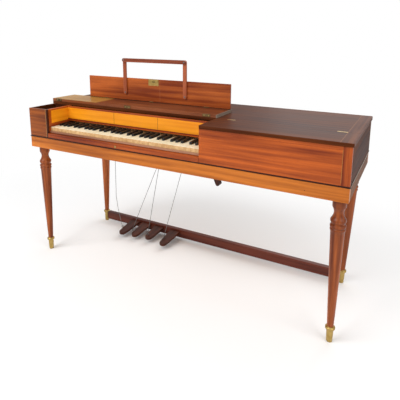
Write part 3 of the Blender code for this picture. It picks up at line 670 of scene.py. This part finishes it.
lid_low, lid_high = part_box("main_lid")
right_flap_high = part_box("right_flap")[1]
line_x = right_side - LID_LINE_INSET
lid_face = above(Z, lid_high.z - LID_SKIN)
lid_inlays = [
    ([above(X, line_x + LINE_WIDTH), lid_face], LID_END, Y),
    ([(X, line_x, line_x + LINE_WIDTH), lid_face], FAINT_LINE, Y),
]
lid_wood = wood(
    "lid_mahogany", LID_MAHOGANY, roughness=0.42, coat=0.0, shine=0.07, inlays=lid_inlays
)
dress(lid_wood, "main_lid", "right_flap")

fold_low, fold_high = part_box("keyboard_flap")
pale_end = [below(X, fold_low.x + FLAP_PALE_LENGTH), above(Z, fold_high.z - FLAP_SKIN)]
flap_inlays = [
    (pale_end, FLAP_PALE, X),
    ([above(X, fold_high.x - FLAP_END)], FLAP_END_GRAIN, Y),
]
dress(wood("flap_mahogany", FLAP_MAHOGANY, roughness=0.36, inlays=flap_inlays), "keyboard_flap")


def screw_head(place, radius, name, body, material=BRASS, rise=0.3):
    """A screw head that faces the player and stands out by a share of its radius."""
    head = disc_mesh(place, radius, SCREW_SIDES, radius * rise, SCREW_TAPER)
    make(name, head, material, body)


lid_joint = (lid_low.y + right_flap_high.y) / 2
for number, x in enumerate(LID_HINGE_PLACES, 1):
    for name, body, y_low, y_high in (
        ("rear", "lid", lid_joint + LEAF_GAP, lid_joint + LID_HINGE_LEAF),
        ("front", "right_lid_flap", lid_joint - LID_HINGE_LEAF, lid_joint - LEAF_GAP),
    ):
        leaf = block_mesh(
            (x - LID_HINGE_LONG / 2, y_low, lid_high.z + LEAF_LIFT),
            (x + LID_HINGE_LONG / 2, y_high, lid_high.z + LEAF_PROUD),
        )
        make(f"lid_hinge_{number}_{name}", leaf, BRASS, body)

hinge_front = fold_low.y - FLAP_HINGE_FRONT
for number, x in enumerate(FLAP_HINGE_PLACES, 1):
    left, right = x - FLAP_HINGE_HALF, x + FLAP_HINGE_HALF
    edge_leaf = block_mesh(
        (left, hinge_front, fold_low.z + EDGE_LEAF_RISE),
        (right, fold_low.y - CLEAR, fold_high.z - FLAP_SKIN),
        EDGE_LEAF_ROUND,
    )
    make(f"flap_hinge_{number}_edge", edge_leaf, DULL_BRASS, "keyboard_lid_flap")
    top_leaf = block_mesh(
        (left, hinge_front, fold_high.z + LEAF_LIFT),
        (right, fold_low.y + FLAP_HINGE_DEPTH, fold_high.z + FLAP_HINGE_PROUD),
        TOP_LEAF_ROUND,
    )
    make(f"flap_hinge_{number}_top", top_leaf, DULL_BRASS, "keyboard_lid_flap")
    for side, reach in (("left", -FLAP_SCREW_REACH), ("right", FLAP_SCREW_REACH)):
        screw_head(
            (x + reach, hinge_front, (fold_low.z + fold_high.z) / 2),
            FLAP_SCREW_RADIUS,
            f"flap_hinge_{number}_screw_{side}",
            "keyboard_lid_flap",
        )

# Fallboard
# A board of striped mahogany that stands on the folded flap, on three small brass hinges.
# A brass lock plate is let into its face near the top, flush and screwed at its corners.

FALL_JOINT = -0.191
FALL_JOINT_WIDTH = 0.0012
FALL_FOOT_BAND = 0.003
LOCK_SCREW_INSET = 0.007
LOCK_SCREW_TOP_INSET = 0.008
LOCK_SCREW_RADIUS = 0.0028
LOCK_LIFT = 0.00003
LOCK_SCREW_RISE = 0.05
BOLT_HALF = 0.009
BOLT_LOW = 0.015
BOLT_HIGH = 0.011
BOLT_PROUD = 0.0002
FALL_HINGE_INSET = 0.12
FALL_HINGE_MIDDLE = -0.24
KNUCKLE_RADIUS = 0.0018
KNUCKLE_LENGTH = 0.024
KNUCKLE_FORWARD = 0.0019
KNUCKLE_RISE = 0.0020
FALL_MAHOGANY = (paint(118, 48, 16), paint(190, 98, 42))
FALL_LINE = (paint(150, 90, 56), paint(176, 112, 74))

fall_low, fall_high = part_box("fallboard")
plate_low, plate_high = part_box("lock_plate")
fall_inlays = [
    ([(X, FALL_JOINT, FALL_JOINT + FALL_JOINT_WIDTH)], FALL_LINE, Z),
    ([below(Z, fall_low.z + FALL_FOOT_BAND)], DARK_MAHOGANY, X),
]
fall_wood = wood("fallboard_mahogany", FALL_MAHOGANY, roughness=0.32, inlays=fall_inlays)
dress(fall_wood, "fallboard")
dress(BRASS, "lock_plate")

plate_sides = (plate_low.x + LOCK_SCREW_INSET, plate_high.x - LOCK_SCREW_INSET)
plate_rows = (plate_low.z + LOCK_SCREW_INSET, plate_high.z - LOCK_SCREW_TOP_INSET)
corners = [(x, z) for z in plate_rows for x in plate_sides]
for number, (x, z) in enumerate(corners, 1):
    place = (x, plate_low.y - LOCK_LIFT, z)
    screw_head(place, LOCK_SCREW_RADIUS, f"lock_screw_{number}", "fall", rise=LOCK_SCREW_RISE)
plate_middle = (plate_low.x + plate_high.x) / 2
# A dark block on the plate is painted shade for the bolt's slot.
bolt = block_mesh(
    (plate_middle - BOLT_HALF, plate_low.y - BOLT_PROUD, plate_high.z - BOLT_LOW),
    (plate_middle + BOLT_HALF, plate_low.y - LOCK_LIFT, plate_high.z - BOLT_HIGH),
)
make("lock_bolt_slot_shade", bolt, hole_shade, "fall")

fall_hinges = (fall_low.x + FALL_HINGE_INSET, FALL_HINGE_MIDDLE, fall_high.x - FALL_HINGE_INSET)
for number, x in enumerate(fall_hinges, 1):
    knuckle = bmesh.new()
    bmesh.ops.create_cone(
        knuckle,
        cap_ends=True,
        segments=16,
        radius1=KNUCKLE_RADIUS,
        radius2=KNUCKLE_RADIUS,
        depth=KNUCKLE_LENGTH,
    )
    bmesh.ops.rotate(knuckle, matrix=Matrix.Rotation(math.pi / 2, 3, "Y"), verts=knuckle.verts)
    place = (x, plate_low.y - KNUCKLE_FORWARD, fall_low.z + KNUCKLE_RISE)
    bmesh.ops.translate(knuckle, vec=place, verts=knuckle.verts)
    make(f"fallboard_hinge_{number}", knuckle, DULL_BRASS, "fall")

# Music rack
# Two mahogany arms and a bar, joined by screws so that the frame folds sideways.
# The arms' lower screws turn in the fallboard, and their upper ones join them to the bar.

ARM_MAHOGANY = (paint(120, 56, 34), paint(170, 92, 60))
BAR_MAHOGANY = (paint(106, 48, 30), paint(150, 80, 54))
RACK_SCREW_RADIUS = 0.0042
ARM_SCREW_RISE = 0.04

arm_wood = wood("rack_mahogany", ARM_MAHOGANY, along=Z, roughness=0.34)
dress(arm_wood, "rack_arm_left", "rack_arm_right")
dress(wood("rack_bar_mahogany", BAR_MAHOGANY, roughness=0.34), "rack_bar")
bar_low, bar_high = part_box("rack_bar")
for side, body in (("left", "left_arm"), ("right", "right_arm")):
    arm_low, arm_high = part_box(f"rack_arm_{side}")
    middle = (arm_low.x + arm_high.x) / 2
    half = (arm_high.x - arm_low.x) / 2
    pivot = (middle, arm_low.y - SET_BACK, arm_low.z + half)
    head = (middle, bar_low.y - SET_BACK, bar_high.z - half)
    screw_head(pivot, RACK_SCREW_RADIUS, f"arm_screw_{side}", body, IRON, ARM_SCREW_RISE)
    screw_head(head, RACK_SCREW_RADIUS, f"bar_screw_{side}", "rack_top", IRON)

# Stand
# A lighter mahogany frame, mitred at the corners, on four turned and tapered legs.
# Each leg has a disc, a hollow neck, a ball and two rings, and stands in a brass cup.

KNOT = [(X, 0.6175, 0.6205), (Z, 0.5965, 0.5995)]
LEG_GAP = 0.0003
TURNING_STEPS = 48
NECK_POINTS = 9
BALL_POINTS = 9
RAKE = Vector((0.012, -0.028, 0))
BACK_LEG_SIDE_INSET = 0.052
BACK_LEG_REAR_INSET = 0.042
BLOCK_INSET = 0.0223
BLOCK_WIDTH = 0.050
BLOCK_LIFT = 0.0004
BLOCK_ROUND = 0.0012
WELD = 0.00001
APRON_MAHOGANY = (paint(150, 78, 22), paint(210, 120, 44))
SHADED_SIDE_APRON_MAHOGANY = (paint(84, 52, 34), paint(132, 88, 58))
LEG_MAHOGANY = (paint(96, 42, 18), paint(176, 94, 46))

apron_low, apron_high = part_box("stand_front_rail")
apron_wood = wood(
    "apron_mahogany",
    APRON_MAHOGANY,
    roughness=0.36,
    pores=0.25,
    inlays=[(KNOT, DARK_MAHOGANY, X)],
)
dress(apron_wood, "stand_front_rail", "stand_back_rail")
# The side rails take a darker, duller copy of the apron mahogany: painted shade on the side faces.
shaded_side_apron_wood = wood(
    "side_apron_mahogany_painted_shade", SHADED_SIDE_APRON_MAHOGANY, along=Y, roughness=0.5, coat=0.0, shine=0.05
)
dress(shaded_side_apron_wood, "stand_left_rail", "stand_right_rail")

leg_top = apron_low.z - LEG_GAP
sabot_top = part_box("sabot_front_left")[1].z
leg_wood = wood("leg_mahogany", LEG_MAHOGANY, along=Z, roughness=0.34)


def leg_turning():
    """The leg's radius and height from its top disc to the brass cup."""
    disc = [(0.0, leg_top), (0.0235, leg_top)]
    disc += [(0.0245, 0.574), (0.0247, 0.556), (0.0245, 0.545), (0.0220, 0.540)]
    neck = []
    for step in range(NECK_POINTS):
        share = step / (NECK_POINTS - 1)
        neck.append((0.0205 - 0.0030 * math.sin(math.pi * share), 0.537 - 0.027 * share))
    ball = []
    for step in range(1, BALL_POINTS):
        share = step / BALL_POINTS
        ball.append((0.0215 + 0.0070 * math.sin(math.pi * share), 0.506 - 0.027 * share))
    upper_ring = [(0.0240, 0.4785), (0.0262, 0.4775), (0.0282, 0.4745), (0.0286, 0.4715)]
    upper_ring += [(0.0282, 0.4685), (0.0262, 0.466), (0.0252, 0.4645)]
    lower_ring = [(0.0264, 0.463), (0.0278, 0.4605), (0.0280, 0.4585), (0.0276, 0.456)]
    lower_ring += [(0.0258, 0.453)]
    taper = [(0.0250, 0.440), (0.0219, 0.340), (0.0186, 0.240), (0.0152, 0.140)]
    taper += [(0.0122, sabot_top + LEG_GAP), (0.0, sabot_top + LEG_GAP)]
    return disc + neck + ball + upper_ring + lower_ring + taper


def cup_turning():
    """The brass cup's outer profile, with its tapering foot and its rolled collar."""
    foot = [(0.0, 0.0), (0.0094, 0.0), (0.0103, 0.0012), (0.0112, 0.003)]
    foot += [(0.0121, 0.018), (0.0128, 0.036)]
    collar = [(0.0130, 0.0135), (0.0168, 0.0125), (0.0183, 0.0105), (0.0186, 0.007)]
    collar += [(0.0182, 0.0035), (0.0166, 0.0018), (0.0142, 0.0010), (0.0134, 0.0), (0.0, 0.0)]
    return foot + [(radius, sabot_top - below_top) for radius, below_top in collar]


def lathe(profile, top_middle, foot_shift):
    """Spins a profile round a leg's line, then leans it so that only the foot moves."""
    mesh = bmesh.new()
    verts = [mesh.verts.new((radius, 0, height)) for radius, height in profile]
    edges = [mesh.edges.new(pair) for pair in zip(verts, verts[1:])]
    bmesh.ops.spin(
        mesh,
        geom=verts + edges,
        cent=(0, 0, 0),
        axis=(0, 0, 1),
        angle=math.tau,
        steps=TURNING_STEPS,
        use_merge=True,
    )
    bmesh.ops.remove_doubles(mesh, verts=mesh.verts, dist=WELD)
    for vert in mesh.verts:
        share = max(0.0, (leg_top - vert.co.z) / leg_top)
        vert.co += top_middle + foot_shift * share
    return mesh


def corner_span(edge, positive):
    """Where a corner block lies along an axis, at the positive or the negative end."""
    return (edge - BLOCK_WIDTH, edge) if positive else (-edge, -edge + BLOCK_WIDTH)


for leg in ("front_left", "front_right", "back_left", "back_right"):
    at_back, at_right = leg.startswith("back"), leg.endswith("right")
    cup_low, cup_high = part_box(f"sabot_{leg}")
    middle = (cup_low + cup_high) / 2
    top_middle, shift = Vector((middle.x, middle.y, 0)), Vector((0, 0, 0))
    if at_back:
        side_x = math.copysign(right_side - BACK_LEG_SIDE_INSET, middle.x)
        top_middle = Vector((side_x, back_side - BACK_LEG_REAR_INSET, 0))
        shift = Vector((-RAKE.x if at_right else RAKE.x, RAKE.y, 0))
    leg_mesh = lathe(leg_turning(), top_middle, shift)
    turning = make(f"turned_leg_{leg}", leg_mesh, leg_wood, "case")
    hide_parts(f"leg_{leg}")
    cup = make(f"cup_{leg}", lathe(cup_turning(), top_middle, shift), BRASS, "case")
    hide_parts(f"sabot_{leg}")
    block_x = corner_span(right_side - BLOCK_INSET, at_right)
    block_y = corner_span(back_side - BLOCK_INSET, at_back)
    corner = block_mesh(
        (block_x[0], block_y[0], leg_top + BLOCK_LIFT),
        (block_x[1], block_y[1], apron_high.z),
        BLOCK_ROUND,
    )
    # The corner blocks take the same darker end mahogany, painted shade.
    make(f"leg_block_{leg}", corner, shaded_end_wood, "case")

# Pedals
# Four tapering levers of dark mahogany hinged on a rail between the back legs.
# An iron eye on each holds its pull wire, which goes up under the case.

PEDAL_NUMBERS = (1, 2, 3, 4)
EYE_RADIUS = 0.0065
EYE_WIRE = 0.0011
EYE_ASIDE = 0.0035
EYE_RISE = 0.004
RAIL_MAHOGANY = (paint(66, 26, 18), paint(112, 54, 38))

pedal_wood = wood("pedal_mahogany", DARK_MAHOGANY, along=Y, roughness=0.42, coat=0.1)
dress(wood("pedal_rail_mahogany", RAIL_MAHOGANY, roughness=0.4, coat=0.15), "pedal_rail")
dress(pedal_wood, *[f"pedal_{number}" for number in PEDAL_NUMBERS])
dress(IRON, *[f"pull_wire_{number}" for number in PEDAL_NUMBERS])
for number in PEDAL_NUMBERS:
    wire = nodes[f"pull_wire_{number}"].data
    foot = min((vert.co for vert in wire.vertices), key=lambda co: co.z)
    eye = bmesh.new()
    bmesh.ops.create_circle(eye, segments=8, radius=EYE_WIRE)
    bmesh.ops.translate(eye, vec=(EYE_RADIUS, 0, 0), verts=eye.verts)
    bmesh.ops.rotate(eye, matrix=Matrix.Rotation(math.pi / 2, 3, "X"), verts=eye.verts)
    bmesh.ops.spin(
        eye,
        geom=eye.verts[:] + eye.edges[:],
        cent=(0, 0, 0),
        axis=(0, 0, 1),
        angle=math.tau,
        steps=20,
        use_merge=True,
    )
    bmesh.ops.remove_doubles(eye, verts=eye.verts, dist=WELD)
    bmesh.ops.rotate(eye, matrix=Matrix.Rotation(math.pi / 2, 3, "Y"), verts=eye.verts)
    place = (foot.x + EYE_ASIDE, foot.y, foot.z + EYE_RISE)
    bmesh.ops.translate(eye, vec=place, verts=eye.verts)
    make(f"pedal_eye_{number}", eye, IRON, f"pedal_lever_{number}")

# Knee lever
# A short dark lever under the case that the player's knee pushes aside.
# It turns beside a small iron plate fixed under the case.

KNEE_X = 0.192
KNEE_PLATE_HALF = 0.017
KNEE_PLATE_FRONT = -0.194
KNEE_PLATE_REAR = -0.1855
KNEE_PLATE_GAP = 0.0004
KNEE_PLATE_THICK = 0.0012
KNEE_PLATE_ROUND = 0.0003

dress(pedal_wood, "knee_lever")
knee_top = apron_high.z - KNEE_PLATE_GAP
knee_plate = block_mesh(
    (KNEE_X - KNEE_PLATE_HALF, KNEE_PLATE_FRONT, knee_top - KNEE_PLATE_THICK),
    (KNEE_X + KNEE_PLATE_HALF, KNEE_PLATE_REAR, knee_top),
    KNEE_PLATE_ROUND,
)
make("knee_plate", knee_plate, IRON, "case")
